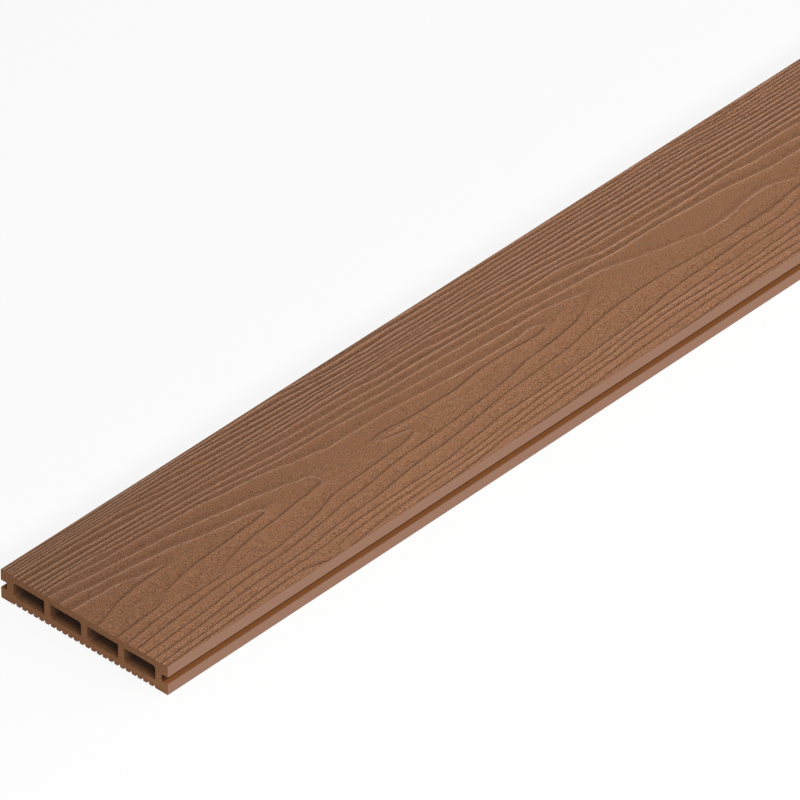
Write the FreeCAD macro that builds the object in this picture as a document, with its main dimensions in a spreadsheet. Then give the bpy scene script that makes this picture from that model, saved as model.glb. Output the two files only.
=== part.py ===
import FreeCAD, Part
import math
import os
import Sketcher

# Extruded wood-plastic decking board, cut to a stock length and lying flat. Its hollow section has four
# chambers, a clip slot along each long side and a finely ribbed underside. X runs along the board, Y across
# it and Z up out of the walking face. The origin is on the floor under the middle of the board.

NODE = "decking_board"

# Driving sizes in millimetres, apart from the two counts
DRIVING_SIZES = (
    ("board_length", 2200),
    ("board_width", 146),
    ("board_thickness", 22.5),
    ("edge_wall", 11),
    ("web_thickness", 5.1),
    ("top_skin", 5.2),
    ("bottom_skin", 6),
    ("chamber_count", 4),
    ("chamber_corner", 2),
    ("lower_lip", 8.5),
    ("slot_height", 5.6),
    ("slot_depth", 5.5),
    ("slot_corner", 1.2),
    ("plain_margin", 11.6),
    ("notch_count", 25),
    ("notch_width", 1.8),
    ("notch_depth", 2),
    ("notch_corner", 0.8),
    ("rib_corner", 0.4),
    ("arris_round", 0.4),
    ("lip_round", 0.3),
    ("bottom_round", 0.8),
)

# A rounding takes at most this share of the wall that carries it
ROUNDING_SHARE = 0.45

# Sizes that follow from the driving ones, as formulas of the sheet
DERIVED_SIZES = (
    ("chamber_height", "board_thickness - top_skin - bottom_skin"),
    ("chamber_room", "board_width - 2 * edge_wall - (chamber_count - 1) * web_thickness"),
    ("chamber_width", "chamber_room / chamber_count"),
    ("chamber_pitch", "chamber_width + web_thickness"),
    ("chamber_round", f"min(chamber_corner; {ROUNDING_SHARE} * chamber_height)"),
    ("notch_pitch", "(board_width - 2 * plain_margin - notch_width) / (notch_count - 1)"),
    ("rib_width", "notch_pitch - notch_width"),
    ("notch_round", f"min(notch_corner; {ROUNDING_SHARE} * notch_width; {ROUNDING_SHARE} * notch_depth)"),
    ("rib_round", f"min(rib_corner; {ROUNDING_SHARE} * rib_width; {ROUNDING_SHARE} * notch_depth)"),
)

# Two places closer than this are the same place
TOLERANCE = 1e-4

# Sketcher's own numbers for the ends of a line or arc, and for the sketch's origin and level axis
START = 1
END = 2
ORIGIN = -1

QUARTER_TURN = math.pi / 2


def make_sheet(doc):
    """Fill the sheet with one row for each size, the driving ones first."""
    sheet = doc.addObject("Spreadsheet::Sheet", "sizes")
    rows = [(alias, str(number)) for alias, number in DRIVING_SIZES]
    rows += [(alias, "=" + formula) for alias, formula in DERIVED_SIZES]
    for row, (alias, content) in enumerate(rows, start=1):
        sheet.set(f"A{row}", alias)
        sheet.set(f"B{row}", content)
        sheet.setAlias(f"B{row}", alias)
    doc.recompute()
    return sheet


def origin_feature(body, role):
    """Find one of the body's own origin planes or axes."""
    return next(item for item in body.Origin.OriginFeatures if item.Role == role)


def section_sketch(body, name):
    """Start a sketch on the board's cross-section: its x is the board's Y and its y is the board's Z."""
    sketch = body.newObject("Sketcher::SketchObject", name)
    sketch.AttachmentSupport = [(origin_feature(body, "YZ_Plane"), "")]
    sketch.MapMode = "FlatFace"
    return sketch


def draw_loop(sketch, corners):
    """Draw a closed loop of level and upright lines, counter-clockwise, with rounded corners.

    Each corner is (y, z, radius), and a radius of 0 keeps it sharp. The line with the number i leaves
    corner i. Returns the numbers of the lines and, by corner, of the arcs.
    """
    points = [FreeCAD.Vector(y, z, 0) for y, z, radius in corners]
    count = len(points)
    headings = []
    for i in range(count):
        headings.append((points[(i + 1) % count] - points[i]).normalize())
    lines = []
    for i in range(count):
        following = (i + 1) % count
        start = points[i] + headings[i] * corners[i][2]
        end = points[following] - headings[i] * corners[following][2]
        lines.append(sketch.addGeometry(Part.LineSegment(start, end), False))
        level = abs(headings[i].y) < TOLERANCE
        sketch.addConstraint(Sketcher.Constraint("Horizontal" if level else "Vertical", lines[i]))
    arcs = {}
    for i, (y, z, radius) in enumerate(corners):
        arriving = lines[i - 1]
        if radius == 0:
            sketch.addConstraint(Sketcher.Constraint("Coincident", arriving, END, lines[i], START))
            continue
        centre = points[i] + (headings[i] - headings[i - 1]) * radius
        outward = -headings[i]
        first_angle = math.atan2(outward.y, outward.x)
        circle = Part.Circle(centre, FreeCAD.Vector(0, 0, 1), radius)
        arc = Part.ArcOfCircle(circle, first_angle, first_angle + QUARTER_TURN)
        arcs[i] = sketch.addGeometry(arc, False)
        sketch.addConstraint(Sketcher.Constraint("Tangent", arriving, END, arcs[i], START))
        sketch.addConstraint(Sketcher.Constraint("Tangent", arcs[i], END, lines[i], START))
    return lines, arcs


def dimension(sketch, name, formula, kind, *places):
    """Add a dimension between the places and bind it to a formula of the sheet's sizes."""
    size = float(sketch.evalExpression(formula))
    number = sketch.addConstraint(Sketcher.Constraint(kind, *places, size))
    sketch.renameConstraint(number, name)
    sketch.setExpression(f"Constraints.{name}", formula)


def bind_radius(sketch, name, formula, arcs):
    """Give all the arcs one radius, bound to a formula of the sheet's sizes."""
    first, *others = arcs.values()
    for other in others:
        sketch.addConstraint(Sketcher.Constraint("Equal", first, other))
    dimension(sketch, name, formula, "Radius", first)


def cut_through(body, sketch, name):
    """Pocket a section sketch right through the board, and make sure that it removed material."""
    before = body.Shape.Volume
    pocket = body.newObject("PartDesign::Pocket", name)
    pocket.Profile = sketch
    pocket.Type = "ThroughAll"
    pocket.SideType = "Symmetric"
    body.Document.recompute()
    if not pocket.Shape.Volume < before:
        raise RuntimeError(f"{name} cuts nothing")
    return pocket


def repeat_across(body, cut, whole_volume, name, pitch, count):
    """Repeat a cut towards +Y, and make sure that each copy removed as much as the first.

    whole_volume is the board's volume before the first cut.
    """
    removed_once = whole_volume - cut.Shape.Volume
    pattern = body.newObject("PartDesign::LinearPattern", name)
    pattern.Originals = [cut]
    pattern.Direction = (origin_feature(body, "Y_Axis"), [""])
    pattern.Mode = "Spacing"
    pattern.setExpression("Offset", f"sizes.{pitch}")
    pattern.setExpression("Occurrences", f"sizes.{count}")
    body.Tip = pattern
    body.Document.recompute()
    removed = whole_volume - pattern.Shape.Volume
    if not math.isclose(removed, removed_once * pattern.Occurrences, rel_tol=TOLERANCE):
        raise RuntimeError(f"{name} lost some of its copies")


def long_edges(shape, chosen):
    """Name the edges that run along the board at the places (y, z) that chosen accepts."""
    names = []
    for number, edge in enumerate(shape.Edges, start=1):
        first = edge.firstVertex().Point
        last = edge.lastVertex().Point
        reach = last - first
        if math.hypot(reach.y, reach.z) < TOLERANCE < abs(reach.x) and chosen(first.y, first.z):
            names.append(f"Edge{number}")
    return names


def round_edges(body, name, radius, chosen):
    """Fillet the long edges that chosen accepts, with a radius from the sheet."""
    base = body.Tip
    fillet = body.newObject("PartDesign::Fillet", name)
    fillet.Base = (base, long_edges(base.Shape, chosen))
    fillet.setExpression("Radius", f"sizes.{radius}")
    body.Document.recompute()
    return fillet


def make_blank(body, sheet):
    """Pad the plain board: its full width and thickness over its full length."""
    half_width = sheet.board_width / 2
    sketch = section_sketch(body, "blank_section")
    corners = (
        (-half_width, 0, 0),
        (half_width, 0, 0),
        (half_width, sheet.board_thickness, 0),
        (-half_width, sheet.board_thickness, 0),
    )
    (bottom, right, top, left), arcs = draw_loop(sketch, corners)
    sketch.addConstraint(Sketcher.Constraint("PointOnObject", bottom, START, ORIGIN))
    dimension(sketch, "side", "sizes.board_width / 2", "DistanceX", bottom, START, ORIGIN, START)
    dimension(sketch, "width", "sizes.board_width", "DistanceX", bottom, START, bottom, END)
    dimension(sketch, "thickness", "sizes.board_thickness", "DistanceY", right, START, right, END)
    pad = body.newObject("PartDesign::Pad", "blank")
    pad.Profile = sketch
    pad.SideType = "Symmetric"
    pad.setExpression("Length", "sizes.board_length")
    body.Document.recompute()


def cut_clip_slots(body, sheet):
    """Cut the slot for the fixing clips into the +Y side, and mirror it to the other side."""
    side = sheet.board_width / 2
    inner = side - sheet.slot_depth
    floor = sheet.lower_lip
    ceiling = floor + sheet.slot_height
    sketch = section_sketch(body, "clip_slot_section")
    corners = (
        (inner, floor, sheet.slot_corner),
        (side, floor, 0),
        (side, ceiling, 0),
        (inner, ceiling, sheet.slot_corner),
    )
    (bottom, mouth, top, back), arcs = draw_loop(sketch, corners)
    bind_radius(sketch, "corner", "sizes.slot_corner", arcs)
    dimension(sketch, "side", "sizes.board_width / 2", "DistanceX", ORIGIN, START, mouth, START)
    dimension(sketch, "depth", "sizes.slot_depth", "DistanceX", back, END, mouth, START)
    dimension(sketch, "lip", "sizes.lower_lip", "DistanceY", ORIGIN, START, mouth, START)
    dimension(sketch, "height", "sizes.slot_height", "DistanceY", mouth, START, mouth, END)
    slot = cut_through(body, sketch, "clip_slot")
    mirrored = body.newObject("PartDesign::Mirrored", "clip_slots")
    mirrored.Originals = [slot]
    mirrored.MirrorPlane = (origin_feature(body, "XZ_Plane"), [""])
    body.Tip = mirrored
    body.Document.recompute()


def ease_side_edges(body, sheet):
    """Round the long edges of both sides: the top arrises, the lips of the slots and the bottom edges."""
    side = sheet.board_width / 2
    slot_edges = (sheet.lower_lip, sheet.lower_lip + sheet.slot_height)

    def on_side(y):
        return abs(abs(y) - side) < TOLERANCE

    def is_arris(y, z):
        return on_side(y) and abs(z - sheet.board_thickness) < TOLERANCE

    def is_lip(y, z):
        return on_side(y) and any(abs(z - edge) < TOLERANCE for edge in slot_edges)

    def is_bottom_edge(y, z):
        return on_side(y) and abs(z) < TOLERANCE

    round_edges(body, "arrises", "arris_round", is_arris)
    round_edges(body, "slot_lips", "lip_round", is_lip)
    round_edges(body, "bottom_edges", "bottom_round", is_bottom_edge)


def cut_chambers(body, sheet):
    """Cut the first chamber along the -Y side, and repeat it across the board between the webs."""
    left = sheet.edge_wall - sheet.board_width / 2
    right = left + sheet.chamber_width
    floor = sheet.bottom_skin
    ceiling = floor + sheet.chamber_height
    whole_volume = body.Shape.Volume
    sketch = section_sketch(body, "chamber_section")
    corners = (
        (left, floor, sheet.chamber_round),
        (right, floor, sheet.chamber_round),
        (right, ceiling, sheet.chamber_round),
        (left, ceiling, sheet.chamber_round),
    )
    (bottom, right_wall, top, left_wall), arcs = draw_loop(sketch, corners)
    bind_radius(sketch, "corner", "sizes.chamber_round", arcs)
    edge = "sizes.board_width / 2 - sizes.edge_wall"
    dimension(sketch, "edge", edge, "DistanceX", left_wall, START, ORIGIN, START)
    dimension(sketch, "width", "sizes.chamber_width", "DistanceX", left_wall, START, right_wall, END)
    dimension(sketch, "floor", "sizes.bottom_skin", "DistanceY", ORIGIN, START, bottom, START)
    dimension(sketch, "height", "sizes.chamber_height", "DistanceY", bottom, START, top, END)
    chamber = cut_through(body, sketch, "chamber")
    repeat_across(body, chamber, whole_volume, "chambers", "chamber_pitch", "chamber_count")


def cut_ribs(body, sheet):
    """Cut the first notch of the underside beside the -Y margin, and repeat it with its eased mouth.

    The ribs are what the notches leave between them.
    """
    left = sheet.plain_margin - sheet.board_width / 2
    right = left + sheet.notch_width
    whole_volume = body.Shape.Volume
    sketch = section_sketch(body, "notch_section")
    corners = (
        (left, 0, 0),
        (right, 0, 0),
        (right, sheet.notch_depth, sheet.notch_round),
        (left, sheet.notch_depth, sheet.notch_round),
    )
    (mouth, right_flank, top, left_flank), arcs = draw_loop(sketch, corners)
    bind_radius(sketch, "corner", "sizes.notch_round", arcs)
    sketch.addConstraint(Sketcher.Constraint("PointOnObject", mouth, START, ORIGIN))
    margin = "sizes.board_width / 2 - sizes.plain_margin"
    dimension(sketch, "margin", margin, "DistanceX", mouth, START, ORIGIN, START)
    dimension(sketch, "width", "sizes.notch_width", "DistanceX", mouth, START, mouth, END)
    dimension(sketch, "depth", "sizes.notch_depth", "DistanceY", mouth, START, top, START)
    cut_through(body, sketch, "notch")

    def is_mouth(y, z):
        return abs(z) < TOLERANCE and min(abs(y - left), abs(y - right)) < TOLERANCE

    mouth_edges = round_edges(body, "notch_mouth", "rib_round", is_mouth)
    mouth_edges.SupportTransform = True
    repeat_across(body, mouth_edges, whole_volume, "notches", "notch_pitch", "notch_count")


def make_board(doc, sheet):
    """Model the board as one extruded piece."""
    body = doc.addObject("PartDesign::Body", NODE)
    body.Label = NODE
    make_blank(body, sheet)
    cut_clip_slots(body, sheet)
    ease_side_edges(body, sheet)
    cut_chambers(body, sheet)
    cut_ribs(body, sheet)
    return body


def check_document(doc, body):
    """Stop before anything is written if an object failed or the board isn't one valid solid."""
    for item in doc.Objects:
        if "Invalid" in item.State or "Error" in item.State:
            raise RuntimeError(f"{item.Name} failed: {item.State}")
    shape = body.Shape
    if shape.isNull() or not shape.isValid() or len(shape.Solids) != 1:
        raise RuntimeError(f"{body.Label} is not one valid solid")


def main():
    doc = FreeCAD.newDocument("decking")
    sheet = make_sheet(doc)
    board = make_board(doc, sheet)
    doc.recompute()
    check_document(doc, board)
    os.makedirs("parts", exist_ok=True)
    board.Shape.exportStep(f"parts/{board.Label}.step")
    print(f"{board.Label}: volume {board.Shape.Volume:.0f} mm3, box {board.Shape.BoundBox}")


main()
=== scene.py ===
"""Looks of the hollow wood-plastic decking board: grained face, smooth skin, sawn ends, light and camera."""

import logging
import math
from dataclasses import dataclass, field
from enum import IntEnum
from typing import Any, Iterable, Union

import bmesh
import bpy
import numpy as np
from bmesh.types import BMEdge, BMesh, BMFace, BMVert
from mathutils import Matrix, Vector, noise


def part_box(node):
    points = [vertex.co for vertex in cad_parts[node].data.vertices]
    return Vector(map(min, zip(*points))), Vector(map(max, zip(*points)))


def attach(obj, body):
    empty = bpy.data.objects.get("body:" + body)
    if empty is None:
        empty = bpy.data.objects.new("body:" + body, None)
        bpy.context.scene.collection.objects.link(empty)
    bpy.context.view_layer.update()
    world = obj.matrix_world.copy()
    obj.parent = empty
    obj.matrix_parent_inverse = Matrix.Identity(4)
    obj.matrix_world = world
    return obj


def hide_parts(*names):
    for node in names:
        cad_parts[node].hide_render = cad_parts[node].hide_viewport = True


log = logging.getLogger("decking_board")

NODE = "decking_board"
BODY = "root"

MM = 0.001
CM = 0.01
CLOSE = 0.002 * MM
HUNDREDTH = 0.01 * MM

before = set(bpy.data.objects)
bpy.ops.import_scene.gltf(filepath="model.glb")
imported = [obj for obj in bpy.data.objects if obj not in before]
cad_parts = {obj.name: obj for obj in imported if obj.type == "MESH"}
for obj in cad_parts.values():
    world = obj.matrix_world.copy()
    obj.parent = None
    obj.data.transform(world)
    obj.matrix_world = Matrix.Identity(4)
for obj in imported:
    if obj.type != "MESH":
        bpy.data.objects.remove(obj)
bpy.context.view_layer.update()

Number = Union[float, "Socket"]
Course = tuple[tuple[float, float], ...]
Span = tuple[float, float]
Stretch = tuple[float, float, float]
Shade = tuple[int, int, int]


class Surface(IntEnum):
    """Finishes of the board, in the order of the mesh's material slots."""

    FACE = 0
    SKIN = 1
    SAWN = 2
    CHAMBER = 3
    SLOT = 4


class Socket:
    """An output of a shader node that takes part in Python arithmetic."""

    def __init__(self, graph: "Graph", output: bpy.types.NodeSocket) -> None:
        """Keep the output and the graph that it belongs to."""
        self.graph = graph
        self.output = output

    def __add__(self, other: Number) -> "Socket":
        """Add another value."""
        return self.graph.math("ADD", self, other)

    def __radd__(self, other: Number) -> "Socket":
        """Be added to a number."""
        return self.graph.math("ADD", other, self)

    def __sub__(self, other: Number) -> "Socket":
        """Take another value away."""
        return self.graph.math("SUBTRACT", self, other)

    def __rsub__(self, other: Number) -> "Socket":
        """Be taken away from a number."""
        return self.graph.math("SUBTRACT", other, self)

    def __mul__(self, other: Number) -> "Socket":
        """Multiply by another value."""
        return self.graph.math("MULTIPLY", self, other)

    def __rmul__(self, other: Number) -> "Socket":
        """Multiply a number."""
        return self.graph.math("MULTIPLY", other, self)

    def __truediv__(self, other: Number) -> "Socket":
        """Divide by another value."""
        return self.graph.math("DIVIDE", self, other)

    def __rtruediv__(self, other: Number) -> "Socket":
        """Divide a number."""
        return self.graph.math("DIVIDE", other, self)


class Graph:
    """The node tree of one material or of the world."""

    def __init__(self, tree: bpy.types.NodeTree) -> None:
        """Start from an empty tree."""
        self.tree = tree
        self.tree.nodes.clear()

    def node(self, kind: str, settings: dict[str, Any] | None = None,
             values: dict[str | int, Any] | None = None, output: str | int = 0) -> Socket:
        """Add one node.

        Args:
            kind: The node's type, such as ShaderNodeTexNoise.
            settings: The node's own properties, which are set first.
            values: Numbers, colours or sockets for its inputs, by name or place.
            output: The output to hand back, by name or place.

        Returns:
            The chosen output.
        """
        node = self.tree.nodes.new(kind)
        for name, setting in (settings or {}).items():
            setattr(node, name, setting)
        for name, value in (values or {}).items():
            if isinstance(value, Socket):
                self.tree.links.new(value.output, node.inputs[name])
            else:
                node.inputs[name].default_value = value
        return Socket(self, node.outputs[output] if node.outputs else None)

    def math(self, operation: str, *terms: Number) -> Socket:
        """Add one Math node on the terms."""
        return self.node("ShaderNodeMath", {"operation": operation}, dict(enumerate(terms)))

    def smooth(self, value: Socket, low: float, high: float) -> Socket:
        """Rise smoothly from 0 at low to 1 at high.

        Args:
            value: What is measured.
            low: Where the rise starts.
            high: Where it ends.

        Returns:
            A value from 0 to 1.
        """
        ends = {"Value": value, "From Min": low, "From Max": high}
        return self.node("ShaderNodeMapRange", {"interpolation_type": "SMOOTHSTEP"}, ends)

    def blend(self, amount: Number, first: Any, second: Any) -> Socket:
        """Mix two colours.

        Args:
            amount: 0 for the first colour, 1 for the second.
            first: A colour or a colour socket.
            second: A colour or a colour socket.

        Returns:
            The mixed colour.
        """
        ends = {"Factor": amount, 6: first, 7: second}
        return self.node("ShaderNodeMix", {"data_type": "RGBA"}, ends, output=2)

    def speckle(self, size: float, detail: float = 2.0, stretch: Stretch = (1, 1, 1)) -> Socket:
        """Add noise that is fixed to the object.

        Args:
            size: About how long one fleck is, in metres.
            detail: How many finer layers of noise lie over the first.
            stretch: How many times longer a fleck is along X, Y and Z.

        Returns:
            A value around 0.5.
        """
        place = self.node("ShaderNodeTexCoord", output="Object")
        scale = tuple(1 / (size * axis) for axis in stretch)
        place = self.node("ShaderNodeMapping", None, {"Vector": place, "Scale": scale})
        return self.node("ShaderNodeTexNoise", None, {"Vector": place, "Scale": 1.0, "Detail": detail})

    def dim(self, colour: Socket, share: Socket) -> Socket:
        """Multiply a colour by a share of its light."""
        settings = {"data_type": "RGBA", "blend_type": "MULTIPLY"}
        return self.node("ShaderNodeMix", settings, {"Factor": 1.0, 6: colour, 7: share}, output=2)

    def place(self, axis: str) -> Socket:
        """Give one coordinate of the object, in metres."""
        place = self.node("ShaderNodeTexCoord", output="Object")
        return self.node("ShaderNodeSeparateXYZ", None, {0: place}, output=axis)

    def bump(self, height: Socket) -> Socket:
        """Turn a height in metres into a normal."""
        return self.node("ShaderNodeBump", None, {"Strength": 1.0, "Distance": 1.0, "Height": height})

    def finish(self, values: dict[str, Any]) -> None:
        """End the material in a Principled BSDF with these values."""
        shader = self.node("ShaderNodeBsdfPrincipled", None, values)
        self.node("ShaderNodeOutputMaterial", None, {"Surface": shader})


def linear(red: int, green: int, blue: int) -> tuple[float, float, float, float]:
    """Turn a colour as a screen shows it, from 0 to 255, into the linear colour of a shader."""
    def channel(value: int) -> float:
        share = value / 255
        return share / 12.92 if share <= 0.04045 else ((share + 0.055) / 1.055) ** 2.4
    return channel(red), channel(green), channel(blue), 1.0


def new_graph(name: str) -> tuple[bpy.types.Material, Graph]:
    """Make an empty node material and its graph."""
    material = bpy.data.materials.new(name)
    material.use_nodes = True
    return material, Graph(material.node_tree)


@dataclass(frozen=True)
class Relief:
    """Height of the embossed grain beside a ring's line.

    At each line the face steps up, on the side away from the grain's heart, and then rounds slowly down
    again. The step has a soft foot, and a brow beside the near lines. Lengths are in metres, the foot's in
    steps, and the widest shares apply in dense rings. The modelled share of the depth is in the mesh, and
    the finish adds the rest.
    """

    far_depth: float = 1.05 * MM
    near_depth: float = 0.75 * MM
    middle: float = 12.0 * MM
    step: float = 0.95 * MM
    hump: float = 4.4 * MM
    brow: float = 1.7 * MM
    brow_share: float = 0.42
    foot: float = 4.0
    foot_share: float = 0.3
    modelled: float = 0.42
    widest_step: float = 0.42
    widest_hump: float = 0.6

    def depth(self, across: np.ndarray) -> np.ndarray:
        """Work out the depth of the grain at each place, across from the grain's heart."""
        far_share = 0.5 + 0.5 * np.tanh(across / self.middle)
        return self.near_depth + (self.far_depth - self.near_depth) * far_share

    def sunk(self, ring: np.ndarray, density: np.ndarray) -> np.ndarray:
        """Work out how far the face lies below the crest of the line, as a share of the depth.

        Args:
            ring: Ring number, which is whole on a line.
            density: Rings for each metre across the grain.

        Returns:
            Shares from 0 to 1.
        """
        past = ring - np.floor(ring)
        hump = np.exp(-(past / np.minimum(density * self.hump, self.widest_hump)) ** 2)
        short_of = (1 - past) / np.minimum(density * self.step, self.widest_step)
        sharp = np.clip(short_of, 0, 1)
        soft = np.clip(short_of / self.foot, 0, 1)
        left = (1 - self.foot_share) * sharp ** 2 * (3 - 2 * sharp)
        left = left + self.foot_share * soft ** 2 * (3 - 2 * soft)
        return (1 - hump) * left


@dataclass(frozen=True)
class Fold:
    """A place where the grain leans over and doubles back, in millimetres."""

    along: float
    across: float
    length: float
    width: float
    lean: float

    def shift(self, along: np.ndarray, across: np.ndarray) -> np.ndarray:
        """Work out how far along the board the grain is dragged at each place."""
        lengthwise = (along - self.along) / self.length
        crosswise = (across - self.across) / self.width
        return self.lean * (across - self.across) * np.exp(-lengthwise ** 2 - crosswise ** 2)


@dataclass(frozen=True)
class Press:
    """A place where the roller pressed harder or softer than elsewhere, in millimetres."""

    along: float
    across: float
    length: float
    width: float
    change: float

    def over(self, along: np.ndarray, across: np.ndarray) -> np.ndarray:
        """Work out the change of the grain's depth at each place, as a share."""
        lengthwise = (along - self.along) / self.length
        crosswise = (across - self.across) / self.width
        return self.change * np.exp(-lengthwise ** 2 - crosswise ** 2)


@dataclass(frozen=True)
class Wave:
    """Smooth irregular waving of the grain, in millimetres, with its height in rings or millimetres."""

    length: float
    width: float
    height: float
    layer: float

    def over(self, along: np.ndarray, across: np.ndarray) -> np.ndarray:
        """Work out the waving at each place."""
        places = zip((along / self.length).ravel(), (across / self.width).ravel())
        heights = np.array([noise.noise((a, b, self.layer)) for a, b in places])
        return self.height * heights.reshape(along.shape)


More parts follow.
